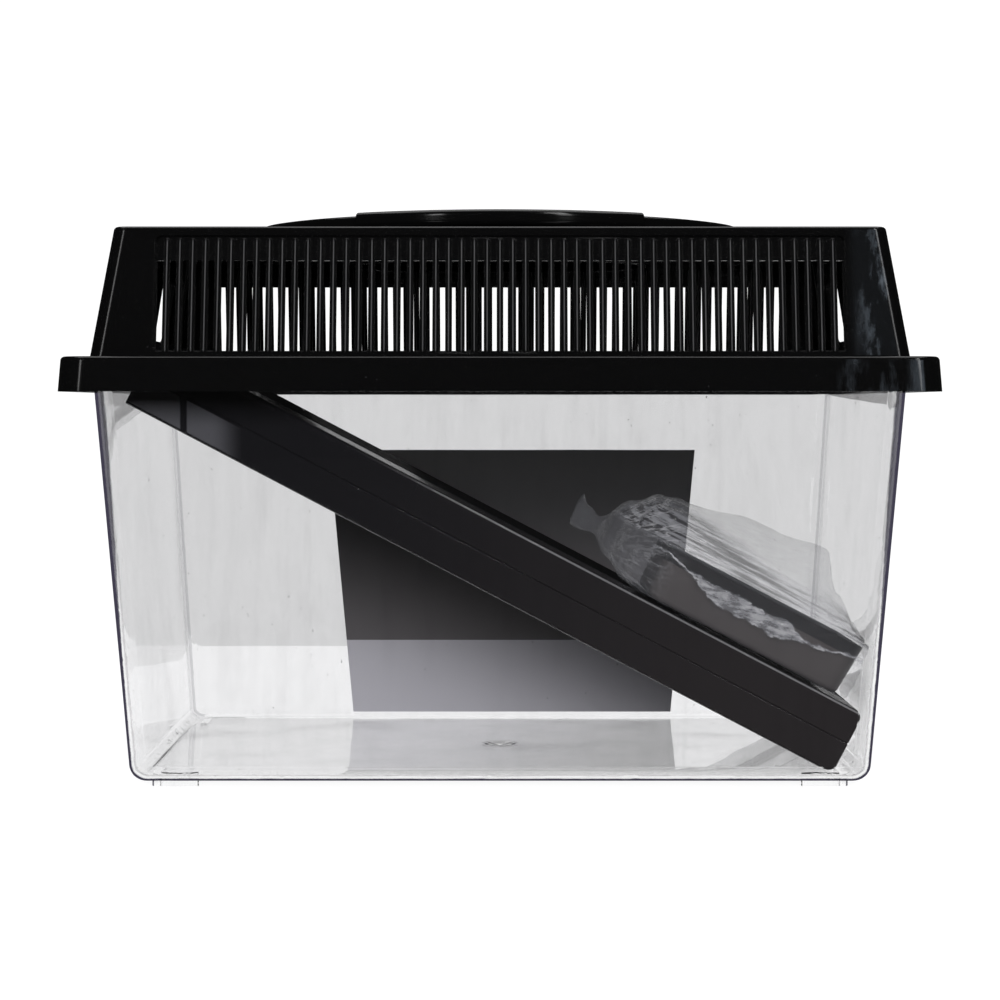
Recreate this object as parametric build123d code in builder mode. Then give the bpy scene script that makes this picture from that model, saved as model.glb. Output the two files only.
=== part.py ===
from build123d import *
import os
from math import asin, atan2, cos, degrees, radians, sin, tan

# A cricket keeper box: a clear tub under a black vented lid with a hatch and a bow handle, and inside it
# four catching tubes lying corner to corner, a bag of two dishes and a printed card.
# Millimetres. X runs along the box, Y from front to back, Z up from the soles of the feet.

# Tub
tub_length = 259.8
tub_width = 158.0
tub_height = 149.0
tub_draft = 4.5
tub_wall = 1.8
tub_corner = 7.0
tub_bottom_radius = 6.0
foot_height = 2.5
foot_length = 16.5
foot_rib = 3.0
foot_inset = 7.0
flange_reach = 6.8
flange_thickness = 2.0
flange_lip = 3.0
gate_radius = 4.0
gate_depth = 0.5

# Lid
lid_wall = 2.0
brim_depth = 12.0
brim_draft = 4.0
brim_corner = 10.0
brim_gap = 0.6
brim_radius = 1.5
housing_inset = 11.2
housing_height = 45.4
housing_draft = 9.0
housing_corner = 5.0
housing_radius = 1.5
mouth_gap = 0.5
mouth_ring_depth = 6.0
mouth_ring_wall = 1.8

# Vent walls
rib_count = 53
rib_pitch = 4.43
rib_width = 2.3
panel_recess = 1.0
panel_margin = 0.9
panel_low = 2.0
panel_high = 42.6
panel_corner = 2.5
rib_top_gap = 0.9
rib_chamfer = 0.7
window_height = 32.0

# Tube ports
port_spacing = 94.0
port_gap = 1.0
port_centre = 22.0
port_corner = 4.0

# Hatch
hatch_length = 116.0
hatch_width = 70.0
hatch_corner = 30.0
hatch_thickness = 2.0
hatch_gap = 0.5
hatch_seat = 4.0
collar_wall = 2.0
collar_depth = 8.9
ridge_length = 26.0
ridge_height = 2.4
ridge_width = 3.0
notch_radius = 9.0
notch_depth = 1.2

# Hatch hinge
hinge_radius = 2.2
hinge_clearance = 0.3
hinge_pin_radius = 1.2
hinge_offset = 3.0
knuckle_length = 9.0
knuckle_foot = 9.0
knuckle_step = 4.5
knuckle_spacing = 40.0
hinge_lug_thickness = 3.0
running_fit = 0.08

# Handle
bow_half_span = 87.0
bow_reach = 68.5
bow_shoulder = 45.0
arm_width = 9.0
arm_thickness = 5.2
arm_radius = 1.8
grip_length = 97.4
grip_thickness = 5.8
grip_proud = 1.2
grip_radius = 2.0
grip_lift = 0.8
handle_pivot_height = 3.2
handle_pin_radius = 2.0
handle_pin_length = 3.6
handle_lug_thickness = 3.6
handle_lug_radius = 3.0
handle_side_gap = 0.4

# Catching tubes
tube_count = 4
tube_length = 281.0
tube_width = 28.0
tube_height = 23.9
tube_wall = 1.4
tube_angle = 27.67
tube_side_draft = 1.2
tube_edge_radius = 1.2
tube_end_radius = 3.0
tube_gap = 0.3
tube_front_gap = 5.0
tube_end_gap = 11.1
tube_floor_gap = 0.3
last_tube_shift = 4.5
lap_height = 1.2
lap_thickness = 0.6
lap_gap = 0.1
seam_chamfer = 0.35

# Dishes and their bag
dish_length = 78.0
dish_width = 58.0
dish_height = 19.0
dish_wall = 1.6
dish_corner = 6.0
dish_draft = 3.0
dish_base_radius = 2.0
nest_gap = 1.0
water_dish_height = 14.0
dish_rise = 48.4
dish_setback = 4.5
film = 0.8
bag_gap = 0.4
bag_margin = 3.5
bag_tail = 34.0
bag_tail_height = 17.0
bag_neck = 25.0
bag_neck_height = 20.0
bag_peak = 35.0
bag_height = 42.0

# Card
card_height = 110.0
card_base = 133.0
card_top = 155.0
card_thickness = 0.5
card_offset = 5.0
card_gap = 1.2
card_lift = 1.6


def drafted_form(length, width, corner, low, high, lean, radius=0, base=Plane.XY):
    """A block sized at the level low, whose walls lean inward by lean degrees up to high, with its four
    corners rounded by corner and its bottom edges by radius. It stands alone or hollows another out."""
    upward = Axis(base.origin, base.z_dir)
    with BuildPart() as form:
        with BuildSketch(base.offset(low)):
            Rectangle(length, width)
        extrude(amount=high - low, taper=lean)
        ends = form.faces().sort_by(upward)
        fillet(form.edges() - ends[0].edges() - ends[-1].edges(), corner)
        if radius:
            fillet(form.faces().sort_by(upward)[0].edges(), radius)
    return form.part


def half_section(plane, height, wide, narrow):
    """A four-sided face on plane, wide at the seam and narrow at the given height."""
    with BuildSketch(plane) as section:
        with BuildLine():
            Polyline((-wide / 2, 0), (wide / 2, 0), (narrow / 2, height), (-narrow / 2, height), close=True)
        make_face()
    return section.sketch.face()


def finish_part(part, name):
    """Names a finished piece and writes it."""
    part.label = name
    export_step(part, f"parts/{name}.step")


os.makedirs("parts", exist_ok=True)

# --- Tub: one clear moulding ---
tub_rise = tub_height - foot_height
mouth_spread = 2 * tub_rise * tan(radians(tub_draft))
mouth_length = tub_length + mouth_spread
mouth_width = tub_width + mouth_spread
flange_length = mouth_length + 2 * flange_reach
flange_width = mouth_width + 2 * flange_reach
flange_corner = tub_corner + flange_reach
floor_top = foot_height + tub_wall
floor_length = tub_length - 2 * tub_wall
floor_width = tub_width - 2 * tub_wall

with BuildPart() as tub:
    add(drafted_form(tub_length, tub_width, tub_corner, foot_height, tub_height, -tub_draft, tub_bottom_radius))
    add(drafted_form(
        floor_length, floor_width, tub_corner - tub_wall, floor_top, tub_height, -tub_draft,
        tub_bottom_radius - tub_wall,
    ), mode=Mode.SUBTRACT)
    with BuildSketch(Plane.XY.offset(tub_height - flange_thickness)):
        RectangleRounded(flange_length, flange_width, flange_corner)
        RectangleRounded(mouth_length - tub_wall, mouth_width - tub_wall, tub_corner, mode=Mode.SUBTRACT)
    extrude(amount=flange_thickness)
    with BuildSketch(Plane.XY.offset(tub_height - flange_thickness - flange_lip)):
        RectangleRounded(flange_length, flange_width, flange_corner)
        RectangleRounded(
            flange_length - 2 * tub_wall, flange_width - 2 * tub_wall, flange_corner - tub_wall, mode=Mode.SUBTRACT
        )
    extrude(amount=flange_lip)
    foot_span = tub_length - 2 * foot_inset
    foot_depth = tub_width - 2 * foot_inset
    foot_corner = tub_corner - foot_rib
    with BuildSketch(Plane.XY):
        RectangleRounded(foot_span, foot_depth, foot_corner)
        offset(amount=-foot_rib, mode=Mode.SUBTRACT)
        Rectangle(foot_span - 2 * foot_length, tub_width, mode=Mode.SUBTRACT)
        Rectangle(tub_length, foot_depth - 2 * foot_length, mode=Mode.SUBTRACT)
    extrude(amount=foot_height)
    with BuildSketch(Plane.XY.offset(foot_height)):
        Circle(gate_radius)
    extrude(amount=gate_depth, mode=Mode.SUBTRACT)
finish_part(tub.part, "tub")

# --- Lid: one black moulding of brim, housing, ports, hatch collar, lugs and vents ---
brim_top = tub_height + lid_wall
brim_low = brim_top - brim_depth
brim_spread = 2 * brim_depth * tan(radians(brim_draft))
brim_length = flange_length + 2 * (brim_gap + lid_wall) + brim_spread
brim_width = flange_width + 2 * (brim_gap + lid_wall) + brim_spread
ring_low = tub_height - mouth_ring_depth
ring_taper = 2 * mouth_ring_depth * tan(radians(tub_draft))
ring_length = mouth_length - 2 * (tub_wall + mouth_gap) - ring_taper
ring_width = mouth_width - 2 * (tub_wall + mouth_gap) - ring_taper
housing_length = brim_length - brim_spread - 2 * (housing_inset - lid_wall)
housing_width = brim_width - brim_spread - 2 * (housing_inset - lid_wall)
housing_top = brim_top + housing_height
wall_lean = radians(housing_draft)
hatch_floor = housing_top - hatch_thickness
collar_length = hatch_length - 2 * hatch_seat + 2 * collar_wall
collar_width = hatch_width - 2 * hatch_seat + 2 * collar_wall
hinge_y = hatch_width / 2 + hinge_offset
hinge_z = housing_top + hinge_radius + hinge_clearance
handle_z = housing_top + handle_pivot_height
handle_side = bow_half_span + arm_width / 2 + handle_side_gap
port_width = tube_width + 2 * port_gap
port_height = tube_height + port_gap
panel_length = rib_count * rib_pitch + rib_pitch - rib_width + 2 * panel_margin
panel_height = panel_high - panel_low
rib_top = panel_high - rib_top_gap

with BuildSketch() as rib:
    with Locations((0, rib_top / 2)):
        Rectangle(rib_width, rib_top)
    chamfer(rib.vertices().group_by(Axis.Y)[-1], rib_chamfer)

with BuildPart() as lid:
    add(drafted_form(brim_length, brim_width, brim_corner, brim_low, brim_top, brim_draft))
    fillet(lid.faces().sort_by(Axis.Z)[-1].edges(), brim_radius)
    add(drafted_form(
        brim_length - 2 * lid_wall, brim_width - 2 * lid_wall, brim_corner - lid_wall,
        brim_low, tub_height, brim_draft,
    ), mode=Mode.SUBTRACT)
    add(drafted_form(ring_length, ring_width, tub_corner, ring_low, tub_height, -tub_draft))
    add(drafted_form(housing_length, housing_width, housing_corner, brim_top, housing_top, housing_draft))
    fillet(lid.faces().sort_by(Axis.Z)[-1].edges(), housing_radius)
    add(drafted_form(
        housing_length - 2 * lid_wall, housing_width - 2 * lid_wall, housing_corner - lid_wall,
        brim_top, housing_top - lid_wall, housing_draft,
    ), mode=Mode.SUBTRACT)
    with BuildSketch(Plane.XY.offset(ring_low)):
        RectangleRounded(
            ring_length - 2 * mouth_ring_wall, ring_width - 2 * mouth_ring_wall, tub_corner - mouth_ring_wall
        )
    extrude(amount=brim_top - ring_low, mode=Mode.SUBTRACT)

    # Tube ports: two rounded openings through each end wall.
    for side in (-1, 1):
        end_wall = Plane(
            (side * housing_length / 2, 0, brim_top),
            x_dir=(0, side, 0),
            z_dir=(side * cos(wall_lean), 0, sin(wall_lean)),
        )
        with BuildSketch(end_wall):
            with Locations((0, port_centre)):
                with GridLocations(port_spacing, 0, 2, 1):
                    RectangleRounded(port_width, port_height, port_corner)
        extrude(amount=-2 * lid_wall, mode=Mode.SUBTRACT)

    # Hatch opening: a collar hangs under the top, and the door drops flush into a pocket above it.
    with BuildSketch(Plane.XY.offset(housing_top - collar_depth)):
        RectangleRounded(collar_length, collar_width, hatch_corner)
    extrude(amount=collar_depth - lid_wall)
    with BuildSketch(Plane.XY.offset(hatch_floor - lid_wall)):
        RectangleRounded(hatch_length + 2 * lid_wall, hatch_width + 2 * lid_wall, hatch_corner + lid_wall)
    extrude(amount=lid_wall)
    with BuildSketch(Plane.XY.offset(housing_top - collar_depth)):
        RectangleRounded(collar_length - 2 * collar_wall, collar_width - 2 * collar_wall, hatch_corner - collar_wall)
    extrude(amount=collar_depth, mode=Mode.SUBTRACT)
    with BuildSketch(Plane.XY.offset(hatch_floor)):
        RectangleRounded(hatch_length + 2 * hatch_gap, hatch_width + 2 * hatch_gap, hatch_corner + hatch_gap)
    extrude(amount=hatch_thickness, mode=Mode.SUBTRACT)
    with BuildSketch(Plane.XY.offset(housing_top)):
        with Locations((0, -hatch_width / 2)):
            Circle(notch_radius)
    extrude(amount=-notch_depth, mode=Mode.SUBTRACT)

    # Hatch hinge lugs: one outside each knuckle, with a bore for its stub.
    lug_x = (knuckle_spacing + knuckle_length) / 2 + handle_side_gap
    for side in (-1, 1):
        with BuildSketch(Plane.YZ.offset(side * (lug_x + hinge_lug_thickness / 2))):
            with Locations((hinge_y, hinge_z)):
                Circle(hinge_radius)
            with Locations((hinge_y, (hinge_z + housing_top) / 2)):
                Rectangle(2 * hinge_radius, hinge_z - housing_top)
            with Locations((hinge_y, hinge_z)):
                Circle(hinge_pin_radius + running_fit, mode=Mode.SUBTRACT)
        extrude(amount=hinge_lug_thickness / 2, both=True)

    # Handle lugs: one outside each end of the bow.
    for side in (-1, 1):
        with BuildSketch(Plane.YZ.offset(side * (handle_side + handle_lug_thickness / 2))):
            with Locations((0, handle_z)):
                Circle(handle_lug_radius)
            with Locations((0, (handle_z + housing_top) / 2)):
                Rectangle(2 * handle_lug_radius, handle_pivot_height)
            with Locations((0, handle_z)):
                Circle(handle_pin_radius + running_fit, mode=Mode.SUBTRACT)
        extrude(amount=handle_lug_thickness / 2, both=True)

    # Vent walls: a recessed panel with ribs left standing, and a window through the wall between each two.
    for side in (-1, 1):
        vent_wall = Plane(
            (0, side * housing_width / 2, brim_top),
            x_dir=(-side, 0, 0),
            z_dir=(0, side * cos(wall_lean), sin(wall_lean)),
        )
        with BuildSketch(vent_wall):
            with Locations((0, (panel_low + panel_high) / 2)):
                RectangleRounded(panel_length, panel_height, panel_corner)
            with GridLocations(rib_pitch, 0, rib_count, 1):
                add(rib.sketch, mode=Mode.SUBTRACT)
        extrude(amount=-panel_recess, mode=Mode.SUBTRACT)
        with BuildSketch(vent_wall):
            with Locations((0, panel_low + window_height / 2)):
                with GridLocations(rib_pitch, 0, rib_count + 1, 1):
                    Rectangle(rib_pitch - rib_width, window_height)
        extrude(amount=-2 * lid_wall, mode=Mode.SUBTRACT)
finish_part(lid.part, "lid")

# --- Hatch door: flush plate with a finger ridge and two knuckles ---
with BuildPart() as hatch_door:
    with BuildSketch(Plane.XY.offset(hatch_floor)):
        RectangleRounded(hatch_length, hatch_width, hatch_corner)
    extrude(amount=hatch_thickness)
    with BuildSketch(Plane.XY.offset(housing_top)):
        with Locations((0, -hatch_width / 2 + 2 * ridge_width)):
            SlotOverall(ridge_length, ridge_width)
    extrude(amount=ridge_height)
    for side in (-1, 1):
        with BuildSketch(Plane.YZ.offset(side * knuckle_spacing / 2)):
            with Locations((hinge_y, hinge_z)):
                Circle(hinge_radius)
            with BuildLine():
                Polyline(
                    (hinge_y - knuckle_foot, housing_top),
                    (hinge_y - knuckle_step, housing_top),
                    (hinge_y, hinge_z - hinge_radius),
                    (hinge_y, hinge_z + hinge_radius),
                    close=True,
                )
            make_face()
        extrude(amount=knuckle_length / 2, both=True)
        with BuildSketch(Plane.YZ.offset(side * (lug_x + hinge_lug_thickness / 2))):
            with Locations((hinge_y, hinge_z)):
                Circle(hinge_pin_radius)
        extrude(amount=hinge_lug_thickness / 2 + handle_side_gap, both=True)
finish_part(hatch_door.part, "hatch_door")

# --- Handle: a three-centred bow with a thicker grip on its crown, folded forward flat ---
bow_crown = (bow_half_span**2 + bow_reach**2 - 2 * bow_half_span * bow_shoulder) / (2 * (bow_reach - bow_shoulder))
crown_centre = bow_crown - bow_reach
crown_angle = degrees(atan2(bow_half_span - bow_shoulder, crown_centre))
grip_angle = degrees(asin(grip_length / 2 / bow_crown))
upward = Vector(0, 0, 1)

with BuildPart() as handle:
    with BuildLine(Plane.XY.offset(handle_z)) as bow:
        CenterArc((bow_shoulder - bow_half_span, 0), bow_shoulder, 180, 90 - crown_angle)
        CenterArc((0, crown_centre), bow_crown, 270 - crown_angle, 2 * crown_angle)
        CenterArc((bow_half_span - bow_shoulder, 0), bow_shoulder, 270 + crown_angle, 90 - crown_angle)
    with BuildSketch(Plane(bow.line @ 0, x_dir=(bow.line % 0).cross(upward), z_dir=bow.line % 0)):
        RectangleRounded(arm_width, arm_thickness, arm_radius)
    sweep(path=bow.line)
    with BuildLine(Plane.XY.offset(handle_z + grip_lift)) as grip:
        CenterArc((0, crown_centre), bow_crown, 270 - grip_angle, 2 * grip_angle)
    with BuildSketch(Plane(grip.line @ 0, x_dir=(grip.line % 0).cross(upward), z_dir=grip.line % 0)):
        RectangleRounded(arm_width + 2 * grip_proud, grip_thickness, grip_radius)
    sweep(path=grip.line)
    for side in (-1, 1):
        with BuildSketch(Plane.YZ.offset(side * bow_half_span)):
            with Locations((0, handle_z)):
                Circle(arm_thickness / 2)
        extrude(amount=arm_width / 2, both=True)
        with BuildSketch(Plane.YZ.offset(side * (handle_side + handle_pin_length / 2))):
            with Locations((0, handle_z)):
                Circle(handle_pin_radius)
        extrude(amount=handle_pin_length / 2 + handle_side_gap, both=True)
finish_part(handle.part, "handle")

# --- Catching tubes: two lapped half shells each, closed at the lower end ---
slope = radians(tube_angle)
along = Vector(cos(slope), 0, -sin(slope))
across = Vector(sin(slope), 0, cos(slope))
heel = Vector(floor_length / 2 - tube_end_gap, 0, floor_top + tube_floor_gap)
tubes_front = -floor_width / 2 + tube_front_gap
half_height = tube_height / 2
narrow_width = tube_width - 2 * half_height * tan(radians(tube_side_draft))
bore_length = tube_length - tube_wall
bore_width = tube_width - 2 * tube_wall
bore_narrow = narrow_width - 2 * tube_wall

for number in range(1, tube_count + 1):
    shift = last_tube_shift if number == tube_count else 0
    tube_y = tubes_front + tube_width / 2 + (number - 1) * (tube_width + tube_gap)
    seam_start = heel - along * tube_length + across * half_height + Vector(-shift, tube_y, 0)
    mouth = Plane(seam_start, x_dir=(0, 1, 0), z_dir=along)
    for half, up in (("upper", 1), ("lower", -1)):
        with BuildPart() as shell:
            extrude(half_section(mouth, up * half_height, tube_width, narrow_width), amount=tube_length)
            crown = shell.faces().sort_by(Axis(seam_start, across * up))[-1]
            fillet(crown.edges().sort_by(Axis(seam_start, along))[-1], tube_end_radius)
            crown = shell.faces().sort_by(Axis(seam_start, across * up))[-1]
            fillet(crown.edges().filter_by(Axis(seam_start, along)), tube_edge_radius)
            seam = shell.faces().sort_by(Axis(seam_start, across * up))[0]
            chamfer(seam.edges().sort_by(Axis(seam_start, along))[1:], seam_chamfer)
            bore = half_section(mouth, up * (half_height - tube_wall), bore_width, bore_narrow)
            extrude(bore, amount=bore_length, mode=Mode.SUBTRACT)
            if half == "upper":
                lap_reach = lap_thickness + lap_gap
                lap_width = bore_width + 2 * lap_reach
                rebate = half_section(mouth, lap_height + lap_gap, lap_width, lap_width)
                extrude(rebate, amount=bore_length + lap_reach, mode=Mode.SUBTRACT)
            else:
                lap_width = bore_width + 2 * lap_thickness
                extrude(half_section(mouth, lap_height, lap_width, lap_width), amount=bore_length + lap_thickness)
                extrude(
                    half_section(mouth, lap_height, bore_width, bore_width), amount=bore_length, mode=Mode.SUBTRACT
                )
        finish_part(shell.part, f"tube_{number}_{half}")

# --- Dishes: two nested troughs, lying in their bag on the lower end of the tubes ---
dish_seat = heel + across * (tube_height + bag_gap + film) - along * dish_rise
dish_y = tubes_front + dish_setback + dish_width / 2
dish_plane = Plane(dish_seat + Vector(0, dish_y, 0), x_dir=along, z_dir=across)
dish_taper = 2 * dish_height * tan(radians(dish_draft))
dish_base_length = dish_length - dish_taper
dish_base_width = dish_width - dish_taper
nest_low = dish_wall + nest_gap
nest_inset = 2 * (dish_wall + nest_gap)

with BuildPart() as food_dish:
    add(drafted_form(
        dish_base_length, dish_base_width, dish_corner, 0, dish_height, -dish_draft, dish_base_radius, dish_plane
    ))
    add(drafted_form(
        dish_base_length - 2 * dish_wall, dish_base_width - 2 * dish_wall, dish_corner - dish_wall,
        dish_wall, dish_height, -dish_draft, dish_base_radius / 2, dish_plane,
    ), mode=Mode.SUBTRACT)
finish_part(food_dish.part, "food_dish")

with BuildPart() as water_dish:
    nest_top = nest_low + water_dish_height
    add(drafted_form(
        dish_base_length - nest_inset, dish_base_width - nest_inset, dish_corner - dish_wall,
        nest_low, nest_top, -dish_draft, dish_base_radius / 2, dish_plane,
    ))
    add(drafted_form(
        dish_base_length - nest_inset - 2 * dish_wall, dish_base_width - nest_inset - 2 * dish_wall,
        dish_corner - 2 * dish_wall, nest_low + dish_wall, nest_top, -dish_draft, dish_base_radius / 2, dish_plane,
    ), mode=Mode.SUBTRACT)
finish_part(water_dish.part, "water_dish")

# --- Bag: a hollow closed pouch of film round the dishes, gathered at its upper end ---
pouch = dish_length / 2 + bag_gap + film
with BuildPart() as dish_bag:
    for skin, mode in ((0, Mode.ADD), (film, Mode.SUBTRACT)):
        with BuildSketch(Plane(dish_plane.origin, x_dir=along, z_dir=(0, -1, 0))):
            with BuildLine():
                Polyline(
                    (-pouch - bag_tail, bag_tail_height),
                    (-pouch - bag_neck, bag_neck_height),
                    (-pouch, bag_peak),
                    (pouch / 4, bag_height),
                    (pouch - bag_peak / 4, bag_peak),
                    (pouch, dish_height + film + bag_gap),
                    (pouch, -film),
                    (-pouch, -film),
                    (-pouch - bag_neck, dish_height / 2),
                    close=True,
                )
            make_face()
            if skin:
                offset(amount=-skin, mode=Mode.REPLACE)
        extrude(amount=dish_width / 2 + bag_margin - skin, both=True, mode=mode)
finish_part(dish_bag.part, "dish_bag")

# --- Card: a tapered sheet leaning with the back wall ---
lean = radians(tub_draft)
card_foot = Vector(card_offset, floor_width / 2 - card_gap, floor_top + card_lift)
with BuildPart() as card:
    with BuildSketch(Plane(card_foot, x_dir=(1, 0, 0), z_dir=(0, -cos(lean), sin(lean)))):
        with BuildLine():
            Polyline(
                (-card_base / 2, 0), (card_base / 2, 0), (card_top / 2, card_height), (-card_top / 2, card_height),
                close=True,
            )
        make_face()
    extrude(amount=card_thickness)
finish_part(card.part, "card")
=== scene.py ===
import math

import bmesh
import bpy
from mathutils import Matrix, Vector, noise


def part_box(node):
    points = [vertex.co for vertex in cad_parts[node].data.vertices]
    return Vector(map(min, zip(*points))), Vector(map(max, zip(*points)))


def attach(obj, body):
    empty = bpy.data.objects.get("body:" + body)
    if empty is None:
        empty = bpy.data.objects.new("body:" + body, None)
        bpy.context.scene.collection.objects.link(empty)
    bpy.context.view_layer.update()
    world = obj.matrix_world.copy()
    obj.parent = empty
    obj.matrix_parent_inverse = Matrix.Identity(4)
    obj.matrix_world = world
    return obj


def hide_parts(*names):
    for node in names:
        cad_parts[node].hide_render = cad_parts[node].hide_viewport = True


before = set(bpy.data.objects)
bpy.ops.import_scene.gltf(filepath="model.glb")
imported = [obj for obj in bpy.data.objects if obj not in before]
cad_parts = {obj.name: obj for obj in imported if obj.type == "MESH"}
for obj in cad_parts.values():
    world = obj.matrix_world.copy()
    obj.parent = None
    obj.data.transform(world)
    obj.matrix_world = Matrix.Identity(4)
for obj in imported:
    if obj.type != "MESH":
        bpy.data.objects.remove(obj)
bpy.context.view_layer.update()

# --- Tub ---
# The tub is one injection moulding of clear polystyrene, wider at its mouth so that tubs nest.
# Its faces are polished, with faint flow waves and a gate mark in the middle of the floor.
# Use has left rubbed streaks, smudges and specks of dust on it.
CLEAR_TINT = (0.985, 0.985, 0.99, 1)
POLYSTYRENE_INDEX = 1.57
EDGE_SHADE_AND_ABSORPTION_TINT = (0.05, 0.046, 0.072, 1)
EDGE_DEPTH = 9.0
WORN_TINT = (0.45, 0.45, 0.46, 1)
SPECK_TINT = (0.1, 0.1, 0.1, 1)
OPEN_TINT = (0.88, 0.88, 0.9, 1)
RING_RATE = 2400.0
GATE_REACH = 0.0075
FLOOR_LEVELS = (0.004, 0.0075)
WALL_LEVELS = (0.01, 0.13)
EDGE_START = 0.5
EDGE_FADE = 0.08
EDGE_WIDENING = 0.37


class Wire:
    """One output of a shader node. Arithmetic on it adds Math nodes, and add() adds any other node."""

    def __init__(self, tree, socket=None):
        self.tree = tree
        self.socket = socket

    def add(self, kind, settings=(), sockets=(), output=0):
        node = self.tree.nodes.new("ShaderNode" + kind)
        for name, value in dict(settings).items():
            setattr(node, name, value)
        for key, value in dict(sockets).items():
            if isinstance(value, Wire):
                self.tree.links.new(value.socket, node.inputs[key])
            else:
                node.inputs[key].default_value = value
        return Wire(self.tree, node.outputs[output]) if node.outputs else None

    def math(self, operation, *values):
        return self.add("Math", {"operation": operation}, dict(enumerate(values)))

    def __add__(self, other):
        return self.math("ADD", self, other)

    def __radd__(self, other):
        return self.math("ADD", other, self)

    def __sub__(self, other):
        return self.math("SUBTRACT", self, other)

    def __rsub__(self, other):
        return self.math("SUBTRACT", other, self)

    def __mul__(self, other):
        return self.math("MULTIPLY", self, other)

    def __rmul__(self, other):
        return self.math("MULTIPLY", other, self)

    def ramp(self, low, high):
        """0 at low and below, 1 at high and above."""
        sockets = {"Value": self, "From Min": low, "From Max": high}
        return self.add("MapRange", {"interpolation_type": "SMOOTHSTEP"}, sockets)


def new_finish(name):
    """An empty material, and a wire to start its nodes from."""
    material = bpy.data.materials.new(name)
    material.use_nodes = True
    material.node_tree.nodes.clear()
    return material, Wire(material.node_tree)


def close_finish(wire, sockets):
    """Joins the sockets of a Principled BSDF to the material's output."""
    wire.add("OutputMaterial", {}, {"Surface": wire.add("BsdfPrincipled", {}, sockets)})


def grain(wire, place, scale, detail, roughness):
    """Noise from 0 to 1 at a place, finer at a larger scale."""
    sockets = {"Vector": place, "Scale": scale, "Detail": detail, "Roughness": roughness}
    return wire.add("TexNoise", {}, sockets)


def cloud(wire, size, stretch=(1, 1, 1), detail=3, roughness=0.5):
    """Noise in blotches about size metres across, longer where stretch is below 1."""
    place = wire.add("TexCoord", output="Object")
    scaled = wire.add("Mapping", {}, {"Vector": place, "Scale": stretch})
    return grain(wire, scaled, 1 / size, detail, roughness)


def split(wire, vector):
    """The three parts of a vector."""
    axes = wire.tree.nodes.new("ShaderNodeSeparateXYZ")
    wire.tree.links.new(vector.socket, axes.inputs["Vector"])
    return [Wire(wire.tree, axis) for axis in axes.outputs]


def place_axes(wire):
    """The three coordinates of a shaded point, in metres on the part's own axes."""
    return split(wire, wire.add("TexCoord", output="Object"))


def normal_axes(wire):
    """The three parts of the outward direction of the surface."""
    return split(wire, wire.add("NewGeometry", output="Normal"))


def unsigned(wire, value):
    """A value without its sign."""
    return wire.math("ABSOLUTE", value)


def blend(wire, share, first, second):
    """The colour first where share is 0, and second where it is 1."""
    return wire.add("Mix", {"data_type": "RGBA"}, {"Factor": share, 6: first, 7: second}, output=2)


def paint(node, material):
    """Gives a CAD node its finish."""
    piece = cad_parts[node]
    piece.data.materials.clear()
    piece.data.materials.append(material)
    return piece


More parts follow.
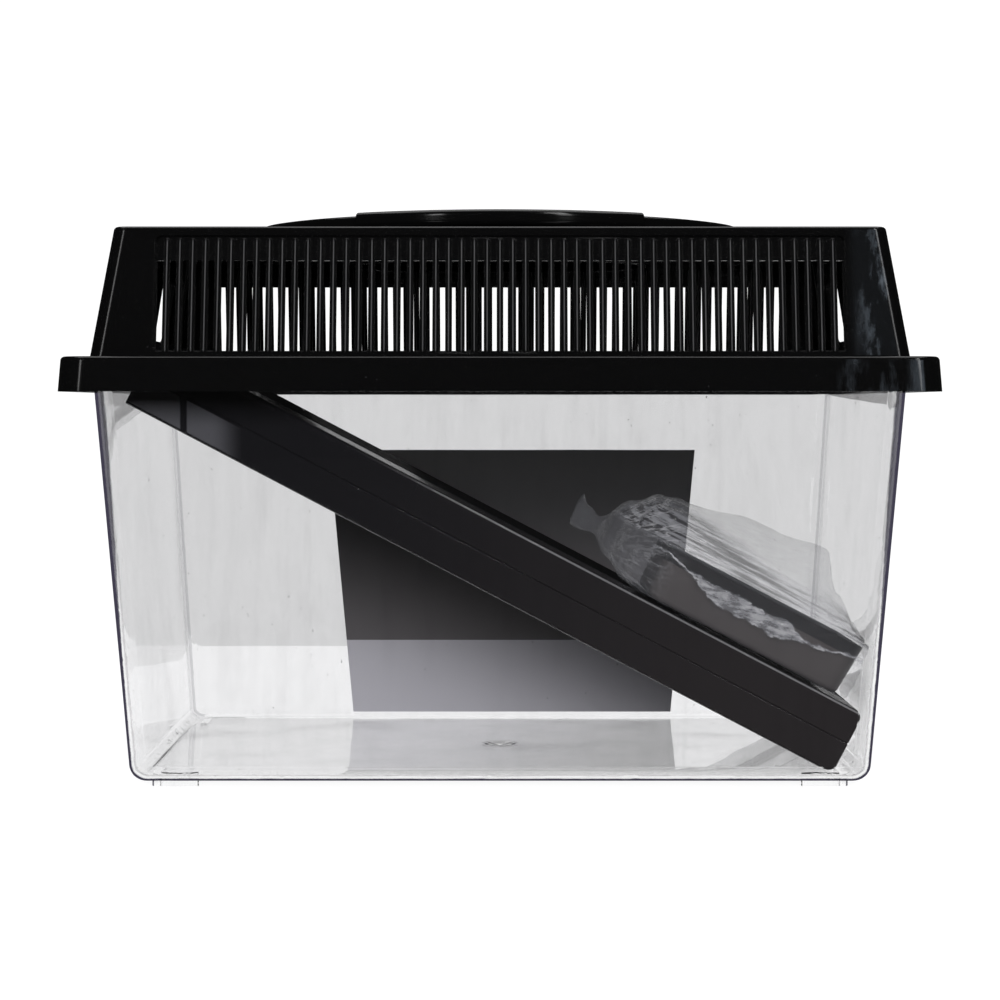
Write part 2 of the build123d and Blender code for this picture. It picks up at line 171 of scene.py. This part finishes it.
def clear_finish():
    material, wire = new_finish("clear_plastic")
    x, y, z = place_axes(wire)
    waves = cloud(wire, 0.05, detail=1)
    rubbed = cloud(wire, 0.012, detail=6, roughness=0.7).ramp(0.62, 0.8)
    streaks = cloud(wire, 0.007, stretch=(1, 1, 0.12), detail=5, roughness=0.65).ramp(0.45, 0.8)
    specks = cloud(wire, 0.0016, detail=1).ramp(0.79, 0.81)
    on_floor = 1 - z.ramp(*FLOOR_LEVELS)

    # The gate is a small raised disc in the middle of the floor, with sink rings round it.
    from_gate = wire.math("SQRT", x * x + y * y)
    rings = wire.math("COSINE", from_gate * RING_RATE) * (1 - from_gate.ramp(0.0, GATE_REACH)) * on_floor
    bump = wire.add("Bump", {}, {"Strength": 0.15, "Distance": 0.001, "Height": waves})
    bump = wire.add("Bump", {}, {"Strength": 0.8, "Distance": 0.0008, "Height": rings, "Normal": bump})

    # The masks below paint shade on edges and corners seen end on, wider toward the top.
    facing = wire.add("LayerWeight", {}, {"Blend": 0.5}, output="Facing")
    first = wire.add("LightPath", output="Is Camera Ray")
    sideways, frontways, upways = (unsigned(wire, part) for part in normal_axes(wire))
    corner = wire.math("MINIMUM", sideways, frontways).ramp(0.03, 0.12)
    bottom = upways.ramp(0.12, 0.3) * (1 - upways.ramp(0.96, 0.99))
    start = EDGE_START - z.ramp(*WALL_LEVELS) * EDGE_WIDENING
    edge_on = facing.ramp(start, start + EDGE_FADE) * 0.84 + facing.ramp(0.4, 0.52) * 0.16
    again = wire.math("MINIMUM", wire.add("LightPath", output="Transparent Depth"), 1)
    outer_edge_shade = first * (1 - again) * edge_on * wire.math("MAXIMUM", corner, bottom)
    leaving = wire.add("NewGeometry", output="Backfacing")
    seen_end_on = facing.ramp(0.3, 0.42) * (1 - facing.ramp(0.8, 0.95))
    inner_edge_shade = (1 - first) * (1 - leaving) * seen_end_on * corner * 0.55
    colour = blend(wire, inner_edge_shade, CLEAR_TINT, EDGE_SHADE_AND_ABSORPTION_TINT)
    smudges = cloud(wire, 0.022, detail=4, roughness=0.6).ramp(0.5, 0.75)
    worn = streaks * 0.13 + smudges * 0.06 + on_floor * 0.05 + on_floor * rubbed * 0.3
    colour = blend(wire, worn, colour, WORN_TINT)
    colour = blend(wire, specks * 0.6, colour, SPECK_TINT)
    clear = wire.add("BsdfPrincipled", {}, {
        "Base Color": colour, "Transmission Weight": 1.0, "IOR": POLYSTYRENE_INDEX,
        "Roughness": rubbed * 0.1 + specks * 0.2, "Normal": bump,
    })

    # Painted shade: an edge or corner seen end on is darkened to violet, more widely toward the top, for the
    # dark studio seen through the rounded corners. The plastic also absorbs a little violet along the way
    # through.
    # Light that comes to it from behind the wall goes straight on, and so does lamplight at any face.
    edge_shade = wire.add("BsdfTransparent", {}, {"Color": EDGE_SHADE_AND_ABSORPTION_TINT})
    lamplight = wire.add("LightPath", output="Is Shadow Ray")
    open_way = wire.add("BsdfTransparent", {}, {"Color": OPEN_TINT})
    shader = wire.add("MixShader", {}, {0: outer_edge_shade, 1: clear, 2: edge_shade})
    straight_on = wire.add("BsdfTransparent")
    shader = wire.add("MixShader", {}, {0: first * again * leaving, 1: shader, 2: straight_on})
    shader = wire.add("MixShader", {}, {0: lamplight, 1: shader, 2: open_way})
    depth = wire.add("VolumeAbsorption", {}, {"Color": EDGE_SHADE_AND_ABSORPTION_TINT, "Density": EDGE_DEPTH})
    wire.add("OutputMaterial", {}, {"Surface": shader, "Volume": depth})
    return material


paint("tub", clear_finish())

# --- Lid, hatch door and handle ---
# All three are moulded in black polystyrene with a bright gloss. The door and the handle turn on stubs that
# snap into the lid's lugs. They carry fine dust, a painted highlight down each rib, and on one corner a
# finger smear with a painted bluish reflection over it.
BLACK = (0.002, 0.002, 0.0021, 1)
DUST = (0.03, 0.03, 0.031, 1)
REFLECTION_AND_SMEAR = (0.085, 0.1, 0.118, 1)
RIB_HIGHLIGHT = (0.055, 0.055, 0.057, 1)
RIB_PITCH = 0.00443
HIGHLIGHT_HALF_WIDTH = (0.00012, 0.0003)
VENT_LOW = 0.1525
VENT_HIGH = 0.1905
VENT_END = 0.1168
VENT_DEPTH = 0.068
BRIM_TOP = 0.1512
SMEAR_START = 0.121
EDGE_RADIUS = 0.0004


def black_gloss_finish():
    material, wire = new_finish("black_gloss")
    x, y, z = place_axes(wire)
    dust = cloud(wire, 0.0009, detail=2).ramp(0.74, 0.8)
    haze = cloud(wire, 0.02, detail=5)
    colour = blend(wire, dust, BLACK, DUST)

    # A thin painted highlight runs down the middle of each rib of the vent walls.
    half_pitch = RIB_PITCH / 2
    off_middle = unsigned(wire, wire.math("PINGPONG", x + half_pitch, half_pitch) - half_pitch)
    facing_y = normal_axes(wire)[1]
    in_height = z.ramp(VENT_LOW, VENT_LOW + 0.001) * (1 - z.ramp(VENT_HIGH, VENT_HIGH + 0.002))
    in_length = 1 - unsigned(wire, x).ramp(VENT_END, VENT_END + 0.0002)
    in_wall = unsigned(wire, y).ramp(VENT_DEPTH, VENT_DEPTH + 0.002)
    in_wall = in_wall * unsigned(wire, facing_y).ramp(0.9, 0.95)
    rib_highlight = (1 - off_middle.ramp(*HIGHLIGHT_HALF_WIDTH)) * in_height * in_length * in_wall
    colour = blend(wire, rib_highlight * 0.8, colour, RIB_HIGHLIGHT)

    # Fingers have smeared the right-hand front corner, and a bluish reflection is painted there in the
    # smear's
    # blotches: a faint veil and blotches on the housing, and a soft band and fainter blotches on the brim.
    to_front = (0 - facing_y).ramp(0.955, 0.975) * (1 - y.ramp(0, 0.01))
    smear = cloud(wire, 0.011, stretch=(1.6, 1, 0.5), detail=7, roughness=0.7).ramp(0.47, 0.68)
    housing_reflection = x.ramp(SMEAR_START - 0.002, SMEAR_START + 0.003) * 0.03
    housing_smear = x.ramp(SMEAR_START, SMEAR_START + 0.009) * smear * 0.65
    on_housing = z.ramp(BRIM_TOP, BRIM_TOP + 0.0006) * (housing_reflection + housing_smear)
    brim_reflection = x.ramp(SMEAR_START + 0.016, SMEAR_START + 0.023) * 0.22
    brim_smear = x.ramp(SMEAR_START - 0.009, SMEAR_START - 0.001) * smear * 0.2
    on_brim = (1 - z.ramp(BRIM_TOP - 0.0008, BRIM_TOP - 0.0002)) * (brim_reflection + brim_smear)
    colour = blend(wire, (on_housing + on_brim) * to_front, colour, REFLECTION_AND_SMEAR)

    edges = wire.add("Bevel", {"samples": 4}, {"Radius": EDGE_RADIUS})
    bump = wire.add("Bump", {}, {"Strength": 0.06, "Distance": 0.0004, "Height": haze, "Normal": edges})
    close_finish(wire, {"Base Color": colour, "Roughness": 0.07 + haze * 0.08, "Normal": bump, "IOR": 1.5})
    return material


black_gloss = black_gloss_finish()
for name in ("lid", "hatch_door", "handle"):
    paint(name, black_gloss)

# --- Catching tubes ---
# Each tube is two half shells of black polystyrene pushed together along a lap, glossy in front. They grow
# lighter and warmer down the slope. Their top faces are mixed toward a dull near-black as painted shade, most
# on the tubes behind the front one. A grey reflection is painted on the lower shell at its upper end, with
# one dark upright stripe across it, and a thin highlight is painted along the upper front arris.
TUBE_BLACK = (0.011, 0.0108, 0.0122, 1)
TUBE_WARM = (0.03, 0.0268, 0.0272, 1)
TUBE_REFLECTION = (0.1, 0.1, 0.107, 1)
TUBE_DULL_SHADE = (0.011, 0.011, 0.0115, 1)
TUBE_ARRIS_HIGHLIGHT = (0.2, 0.2, 0.2, 1)
SLOPE = math.radians(27.67)
STRIPE_START = -0.1128
STRIPE_END = -0.1098
REFLECTION_END = (-0.102, -0.09)
LOWER_FACE = (-0.0112, -0.0006)
TUBE_FRONT = -0.0135
ARRIS_HEIGHT = 0.0108


def slope_axes(wire, origin):
    """A shaded point's distances along, behind and above origin, on axes that lie down the tubes' slope."""
    x, y, z = place_axes(wire)
    x, y, z = x - origin[0], y - origin[1], z - origin[2]
    return x * math.cos(SLOPE) - z * math.sin(SLOPE), y, x * math.sin(SLOPE) + z * math.cos(SLOPE)


def black_satin_finish(mouth):
    """mouth is the middle of the front tube's upper end."""
    material, wire = new_finish("black_satin")
    along, back, above = slope_axes(wire, mouth)
    haze = cloud(wire, 0.015, detail=5)
    colour = blend(wire, along.ramp(0.05, 0.27), TUBE_BLACK, TUBE_WARM)
    # Painted reflection: grey on the front of the lower shell at the upper end, broken by a dark upright
    # stripe.
    bottom, top = LOWER_FACE
    lower = (1 - above.ramp(top - 0.0006, top)) * above.ramp(bottom, bottom + 0.0006)
    lower = lower * (1 - back.ramp(TUBE_FRONT, TUBE_FRONT + 0.001))
    x = place_axes(wire)[0]
    stripe = x.ramp(STRIPE_START, STRIPE_START + 0.0006) * (1 - x.ramp(STRIPE_END - 0.0006, STRIPE_END))
    painted_reflection = lower * (1 - stripe) * (1 - x.ramp(*REFLECTION_END)) * (0.8 + haze * 0.4)
    colour = blend(wire, painted_reflection, colour, TUBE_REFLECTION)
    # A thin highlight is painted along the upper front arris, from partway down the slope.
    arris_highlight = above.ramp(ARRIS_HEIGHT, ARRIS_HEIGHT + 0.0003)
    arris_highlight = arris_highlight * (1 - above.ramp(ARRIS_HEIGHT + 0.0007, ARRIS_HEIGHT + 0.0009))
    arris_highlight = arris_highlight * (1 - back.ramp(TUBE_FRONT + 0.0001, TUBE_FRONT + 0.0006))
    colour = blend(wire, arris_highlight * along.ramp(0.07, 0.17), colour, TUBE_ARRIS_HIGHLIGHT)
    edges = wire.add("Bevel", {"samples": 4}, {"Radius": EDGE_RADIUS})
    bump = wire.add("Bump", {}, {"Strength": 0.08, "Distance": 0.0004, "Height": haze, "Normal": edges})
    gloss = wire.add("BsdfPrincipled", {}, {
        "Base Color": colour, "Roughness": 0.06 + haze * 0.06, "Normal": bump, "IOR": 1.5,
    })
    # Painted shade: the top faces mix toward a dull near-black, most on the tubes behind the front one, where
    # they would mirror the black lid.
    dull_shade = wire.add("BsdfDiffuse", {}, {"Color": TUBE_DULL_SHADE, "Normal": bump})
    upward = normal_axes(wire)[2].ramp(0.5, 0.8)
    share = upward * (0.55 + back.ramp(0.013, 0.016) * 0.42)
    surface = wire.add("MixShader", {}, {0: share, 1: gloss, 2: dull_shade})
    wire.add("OutputMaterial", {}, {"Surface": surface})
    return material


low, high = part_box("tube_1_lower")
mouth = (low[0] + 0.0055, (low[1] + high[1]) / 2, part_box("tube_1_upper")[1][2] - 0.0106)
black_satin = black_satin_finish(mouth)
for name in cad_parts:
    if name.startswith("tube_"):
        paint(name, black_satin)

# --- Dishes ---
# The food dish is a shallow rounded tray moulded in dark brown plastic with a satin face, and the water
# dish is a lower one nested in it. The band below the rim is nearly black.
DISH_BROWN = (0.085, 0.076, 0.073, 1)
DISH_SHADE = (0.02, 0.0195, 0.0195, 1)
SHADE_HEIGHTS = (0.0036, 0.0042)

low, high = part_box("food_dish")
DISH_CENTRE = (low + high) / 2


def dish_finish():
    material, wire = new_finish("dish_plastic")
    haze = cloud(wire, 0.006, detail=6)
    rim = slope_axes(wire, DISH_CENTRE)[2].ramp(*SHADE_HEIGHTS)
    colour = blend(wire, rim, DISH_BROWN, DISH_SHADE)
    bump = wire.add("Bump", {}, {"Strength": 0.3, "Distance": 0.0003, "Height": haze})
    close_finish(wire, {"Base Color": colour, "Roughness": 0.38 + haze * 0.2, "Normal": bump, "IOR": 1.5})
    return material


dish_plastic = dish_finish()
for name in ("food_dish", "water_dish"):
    paint(name, dish_plastic)

# --- Bag ---
# The dishes come in a loose bag of thin clear film, drawn tight under them and before them and standing up
# in a tent above them. It is gathered at the upper end, and twisted there into a neck and a short tail.
ALONG = Vector((math.cos(SLOPE), 0, -math.sin(SLOPE)))
ACROSS = Vector((math.sin(SLOPE), 0, math.cos(SLOPE)))
# Each section of the bag: its place along the dishes, and the points round it as (depth, height), all in
# millimetres from the dishes' centre: front foot, front top, ridge, crown, back top and back foot.
BAG_SECTIONS = (
    (-74, ((-16, -1), (-17, 4), (-12, 9), (-6, 11), (1, 8), (0, 1))),
    (-70, ((-13, -1), (-14, 3), (-10, 7), (-6, 8), (-2, 6), (-3, 0))),
    (-65, ((-9, 0), (-10, 2), (-8, 5), (-6, 6), (-4, 4), (-5, 1))),
    (-57, ((-18, -5), (-19, 6), (-13, 15), (-3, 17), (10, 9), (9, -3))),
    (-48, ((-28, -9), (-27, 8), (-20, 20), (0, 24), (24, 14), (22, -8))),
    (-40, ((-30.5, -10.2), (-30, 9.5), (-21, 20.5), (3, 26), (30, 17), (31, -10.2))),
    (-10, ((-30.5, -10.2), (-30, 9.8), (-22, 20), (8, 31), (31, 19), (31.5, -10.2))),
    (16, ((-30.5, -10.2), (-30, 9.8), (-23, 18.5), (10, 34), (31, 20), (31.5, -10.2))),
    (27, ((-30.5, -10.2), (-30, 9.8), (-24, 15), (8, 22), (30, 15), (31.5, -10.2))),
    (36, ((-30.5, -10.2), (-30, 9.8), (-25, 12), (7, 15), (30, 12), (31.5, -10.2))),
    (40.2, ((-30, -10), (-29.5, 9.5), (-22, 10.4), (6, 11), (28, 10.2), (30.5, -10))),
)
BAG_STEPS = 190
BAG_TURNS = 170
CREASE = 0.0016
DEEPEST_DENT = 0.0003
FOLD_RATE = Vector((22, 95, 95))
BLISTER_RATE = 60
ROUNDNESS = 0.45
NECK = (-0.068, -0.002)
RIM_HEIGHTS = (0.0085, 0.0105)
TENT_HEIGHTS = (0.0135, 0.021)
HOOD_RISE = 0.006
FRONT_DEPTHS = (-0.016, -0.006)
GATHERS = (-0.061, -0.053, -0.044, -0.03)
CRUMPLE_HEIGHT = 0.0012
CRUMPLE_HALF = 0.0028
LINE_HALF = 0.0006
FILM_GREY = (0.4, 0.41, 0.43, 1)
FILM_SHADE = (0.06, 0.06, 0.063, 1)
FILM_HIGHLIGHT = (0.72, 0.72, 0.72, 1)


def between(stations, place):
    """The points at place of a list of (place, points), eased from each station to the next."""
    for (start, first), (end, second) in zip(stations, stations[1:]):
        if place <= end:
            share = (place - start) / (end - start)
            share = share * share * (3 - 2 * share)
            return [Vector(a).lerp(Vector(b), share) for a, b in zip(first, second)]


def loop_point(points, turn):
    """A point on the smooth closed curve through points, at turn from 0 to 1."""
    spot = turn * len(points)
    index = int(spot)
    p0, p1, p2, p3 = (points[(index + shift - 1) % len(points)] for shift in range(4))
    t = spot - index
    bend = (2 * p0 - 5 * p1 + 4 * p2 - p3) * t * t + (3 * p1 - p0 - 3 * p2 + p3) * t**3
    curve = 0.5 * (2 * p1 + (p2 - p0) * t + bend)
    return p1.lerp(p2, t).lerp(curve, ROUNDNESS)


def crumple(spot):
    """How far the film stands in or out at a spot on it, in creases that mostly run along the dishes."""
    long_folds = noise.ridged_multi_fractal(spot * FOLD_RATE, 0.9, 2.1, 4, 0.9, 2.0)
    blister = noise.noise(spot * BLISTER_RATE)
    return (long_folds - 0.9) * 0.5 + blister * 0.5


def make_bag():
    mesh = bpy.data.meshes.new("bag_film")
    film = bmesh.new()
    first, last = BAG_SECTIONS[0][0], BAG_SECTIONS[-1][0]
    rings = []
    for step in range(BAG_STEPS + 1):
        place = first + (last - first) * step / BAG_STEPS
        points = between(BAG_SECTIONS, place)
        ring = []
        for turn in range(BAG_TURNS):
            depth, height = loop_point(points, turn / BAG_TURNS)
            spot = Vector((place, depth, height)) / 1000
            sideways = Vector((0, spot.y, 0))
            ring.append(film.verts.new(DISH_CENTRE + ALONG * spot.x + sideways + ACROSS * spot.z))
        rings.append(ring)
    for ring, after in zip(rings, rings[1:]):
        for turn in range(BAG_TURNS):
            back = (turn + 1) % BAG_TURNS
            film.faces.new((ring[turn], ring[back], after[back], after[turn]))
    film.faces.new(rings[0])
    film.faces.new(reversed(rings[-1]))
    film.normal_update()
    for vert in film.verts:
        local = vert.co - DISH_CENTRE
        vert.co += vert.normal * max(crumple(local) * CREASE, -DEEPEST_DENT)
    film.to_mesh(mesh)
    film.free()
    piece = bpy.data.objects.new("bag_film", mesh)
    bpy.context.scene.collection.objects.link(piece)
    return piece


def streaky(wire, places, detail, roughness):
    """Noise over three places that are already scaled, so that each stretches it its own way."""
    return grain(wire, wire.add("CombineXYZ", {}, dict(enumerate(places))), 1.0, detail, roughness)


def film_finish():
    material, wire = new_finish("bag_film")
    along, back, above = slope_axes(wire, DISH_CENTRE)
    facing = wire.add("LayerWeight", {}, {"Blend": 0.3}, output="Facing")

    # Creases run down the slope just over the dishes, and fan out from the neck where the bag is gathered in.
    # They are painted as light and dark streaks over the dishes, highlights and shade, and as highlights in
    # the fans.
    streaks = streaky(wire, (along * 30, back * 300, above * 680), 4, 0.6).ramp(0.42, 0.62)
    fan = wire.math("DIVIDE", above - NECK[1], along - NECK[0])
    folds = streaky(wire, (fan * 7, back * 110, along * 45), 4, 0.55)
    fans = 1 - unsigned(wire, folds - 0.5).ramp(0.0, 0.03)
    height = above - (1 - along.ramp(-0.04, 0.005)) * HOOD_RISE
    over_dishes = above.ramp(*RIM_HEIGHTS) * (1 - height.ramp(*TENT_HEIGHTS)) * (1 - back.ramp(*FRONT_DEPTHS))
    gathered = along.ramp(*GATHERS[:2]) * (1 - along.ramp(*GATHERS[2:]))

    # The film lies crumpled on the front of the dishes, where painted highlights make it nearly white.
    wobble = (cloud(wire, 0.009, detail=5, roughness=0.7) - 0.5) * 0.0065
    middle = CRUMPLE_HEIGHT + (1 - along.ramp(-0.046, -0.014)) * 0.0062 + along.ramp(0.012, 0.04) * 0.003
    half = LINE_HALF + CRUMPLE_HALF * along.ramp(-0.032, -0.012) * (1 - along.ramp(0.006, 0.02))
    off_middle = unsigned(wire, above - middle + wobble)
    slant = (along * 110 + above * 190, back * 100, above * 420 - along * 140)
    facets = streaky(wire, slant, 6, 0.65).ramp(0.36, 0.62)
    front = 1 - back.ramp(-0.029, -0.028)
    crumpled = (half - off_middle).ramp(-0.0002, 0.0006) * front * (0.4 + 0.6 * facets)

    colour = blend(wire, over_dishes * (1 - streaks), FILM_GREY, FILM_SHADE)
    shine = over_dishes * streaks * 0.3 + crumpled * facets * 0.8 + gathered * fans * 0.45
    colour = blend(wire, shine, colour, FILM_HIGHLIGHT)
    haze = 0.07 + facing * 0.2 + over_dishes * (0.6 - streaks * 0.3)
    haze = haze + gathered * (streaks * 0.08 + fans * 0.16)
    alpha = wire.math("MINIMUM", haze + crumpled * 0.65, 0.92)
    close_finish(wire, {"Base Color": colour, "Roughness": 0.14, "IOR": 1.5, "Alpha": alpha})
    return material


bag = make_bag()
bag.data.materials.append(film_finish())
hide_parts("dish_bag")
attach(bag, "dishes")

# --- Card ---
# A sheet of printed card with a semi-matte face stands against the back wall of the tub. It is cut wider
# at its top than at its foot. Its print is a dark field over a pale band, and painted shade darkens the field
# toward the top, under the lid.
DARK_PRINT_SHADED = (0.055, 0.054, 0.055, 1)
DARK_PRINT_LIT = (0.15, 0.142, 0.143, 1)
PRINT_PALE = (0.62, 0.61, 0.64, 1)
BAND_TOP = 0.0358
BAND_EDGE = 0.0001
SHADE_TOP = 0.1


def card_finish():
    material, wire = new_finish("card_print")
    height = place_axes(wire)[2]
    field = height.ramp(BAND_TOP - BAND_EDGE, BAND_TOP + BAND_EDGE)
    # Painted shade: the dark field darkens from its lit tone at the band up to the top.
    dark = blend(wire, height.ramp(BAND_TOP, SHADE_TOP), DARK_PRINT_LIT, DARK_PRINT_SHADED)
    colour = blend(wire, field, PRINT_PALE, dark)
    close_finish(wire, {"Base Color": colour, "Roughness": 0.42, "IOR": 1.45})
    return material


paint("card", card_finish())

# --- Studio ---
# The box stands on a pale floor before a pale backdrop, with soft lamps above it and in front of it.
# The camera faces its long side.
FLOOR_SIZE = 1.1
FLOOR_MIDDLE = -0.17
WORLD_GREY = 0.28
FRONT_GREY = 0.015
THROUGH_GREY = 0.84
STRAIGHT_GREY = 1.1
FLOOR_GAIN = 1.32
SHADED_SHARE = 0.4
FLOOR_COLOUR = (0.8, 0.8, 0.8, 1)
WHITE = (1, 1, 1, 1)
AIM = (0, 0, 0.1)
LAMPS = {
    "top_lamp": ((1.4, 1.0), 7, (0, 0.25, 1.3)),
    "left_lamp": ((0.25, 0.85), 2.6, (-1.15, -2.15, 0.9)),
    "right_lamp": ((0.25, 0.85), 2.6, (1.15, -2.15, 0.9)),
    "high_lamp": ((0.3, 0.3), 4, (0.84, -1.57, 1.7)),
    "front_lamp": ((1.6, 0.6), 40, (0, -1.9, 0.6)),
}
CAMERA_PLACE = (0, -0.835, 0.1337)
CAMERA_LENS = 78.05
CAMERA_SHIFT = -0.093


def backdrop(wire):
    """How bright a ray from the camera finds the studio.

    It is white to a ray that has met nothing, and nearly so to one that has gone through clear plastic. A ray
    mirrored by an outer face, or mirrored inside and sent back to the front of the studio, finds it dark.
    """
    straight = wire.add("LightPath", output="Is Camera Ray")
    mirrors = wire.math("MINIMUM", wire.add("LightPath", output="Glossy Depth"), 1)
    inside = wire.math("MINIMUM", wire.add("LightPath", output="Transmission Depth"), 1)
    through = wire.add("LightPath", output="Is Transmission Ray") * (1 - mirrors)
    incoming = wire.add("NewGeometry", output="Incoming")
    ahead = 0 - split(wire, incoming)[1]
    mirrored = FRONT_GREY + inside * ahead.ramp(-0.2, 0.6) * (THROUGH_GREY - FRONT_GREY)
    return straight, straight * STRAIGHT_GREY + through * THROUGH_GREY + (1 - straight - through) * mirrored


def stage_finish():
    """A floor that glows white and keeps a faint share of the shadow that lies on it."""
    material, wire = new_finish("studio_white")
    lit_by = wire.add("LightPath", output="Is Diffuse Ray") + wire.add("LightPath", output="Is Shadow Ray")
    straight, strength = backdrop(wire)
    diffuse = wire.add("BsdfDiffuse", {}, {"Color": FLOOR_COLOUR})
    glow = wire.add("Emission", {}, {"Color": WHITE, "Strength": strength * FLOOR_GAIN})
    mixed = wire.add("MixShader", {}, {0: 1 - lit_by - straight * SHADED_SHARE, 1: diffuse, 2: glow})
    wire.add("OutputMaterial", {}, {"Surface": mixed})
    return material


def add_piece(name, data, place):
    """A new object in the scene, with its origin at place."""
    piece = bpy.data.objects.new(name, data)
    bpy.context.scene.collection.objects.link(piece)
    piece.location = place
    return piece


floor_mesh = bpy.data.meshes.new("floor")
grid = bmesh.new()
bmesh.ops.create_grid(grid, x_segments=1, y_segments=1, size=FLOOR_SIZE / 2)
grid.to_mesh(floor_mesh)
grid.free()
floor = add_piece("floor", floor_mesh, (0, FLOOR_MIDDLE, 0))
floor.data.materials.append(stage_finish())

world = bpy.data.worlds.new("studio")
world.use_nodes = True
world.node_tree.nodes.clear()
sky = Wire(world.node_tree)
diffuse = sky.add("LightPath", output="Is Diffuse Ray")
straight, strength = backdrop(sky)
strength = WORLD_GREY * diffuse + (1 - diffuse) * strength
sky.add("OutputWorld", {}, {"Surface": sky.add("Background", {}, {"Color": WHITE, "Strength": strength})})
bpy.context.scene.world = world


for name, (size, power, place) in LAMPS.items():
    light = bpy.data.lights.new(name, "AREA")
    light.shape = "RECTANGLE"
    light.size, light.size_y = size
    light.energy = power
    lamp = add_piece(name, light, place)
    lamp.rotation_euler = (Vector(AIM) - lamp.location).to_track_quat("-Z", "Y").to_euler()
    # The front lamp only brightens what scatters light, and shows in no polished face.
    lamp.visible_glossy = name != "front_lamp"
    lamp.visible_transmission = name != "front_lamp"

lens = bpy.data.cameras.new("camera")
lens.lens = CAMERA_LENS
lens.sensor_width = 36
lens.shift_y = CAMERA_SHIFT
camera = add_piece("camera", lens, CAMERA_PLACE)
camera.rotation_euler = (math.radians(90), 0, 0)
bpy.context.scene.camera = camera
bpy.context.scene.view_settings.view_transform = "Standard"
bpy.context.scene.cycles.caustics_refractive = False
bpy.context.scene.cycles.caustics_reflective = False
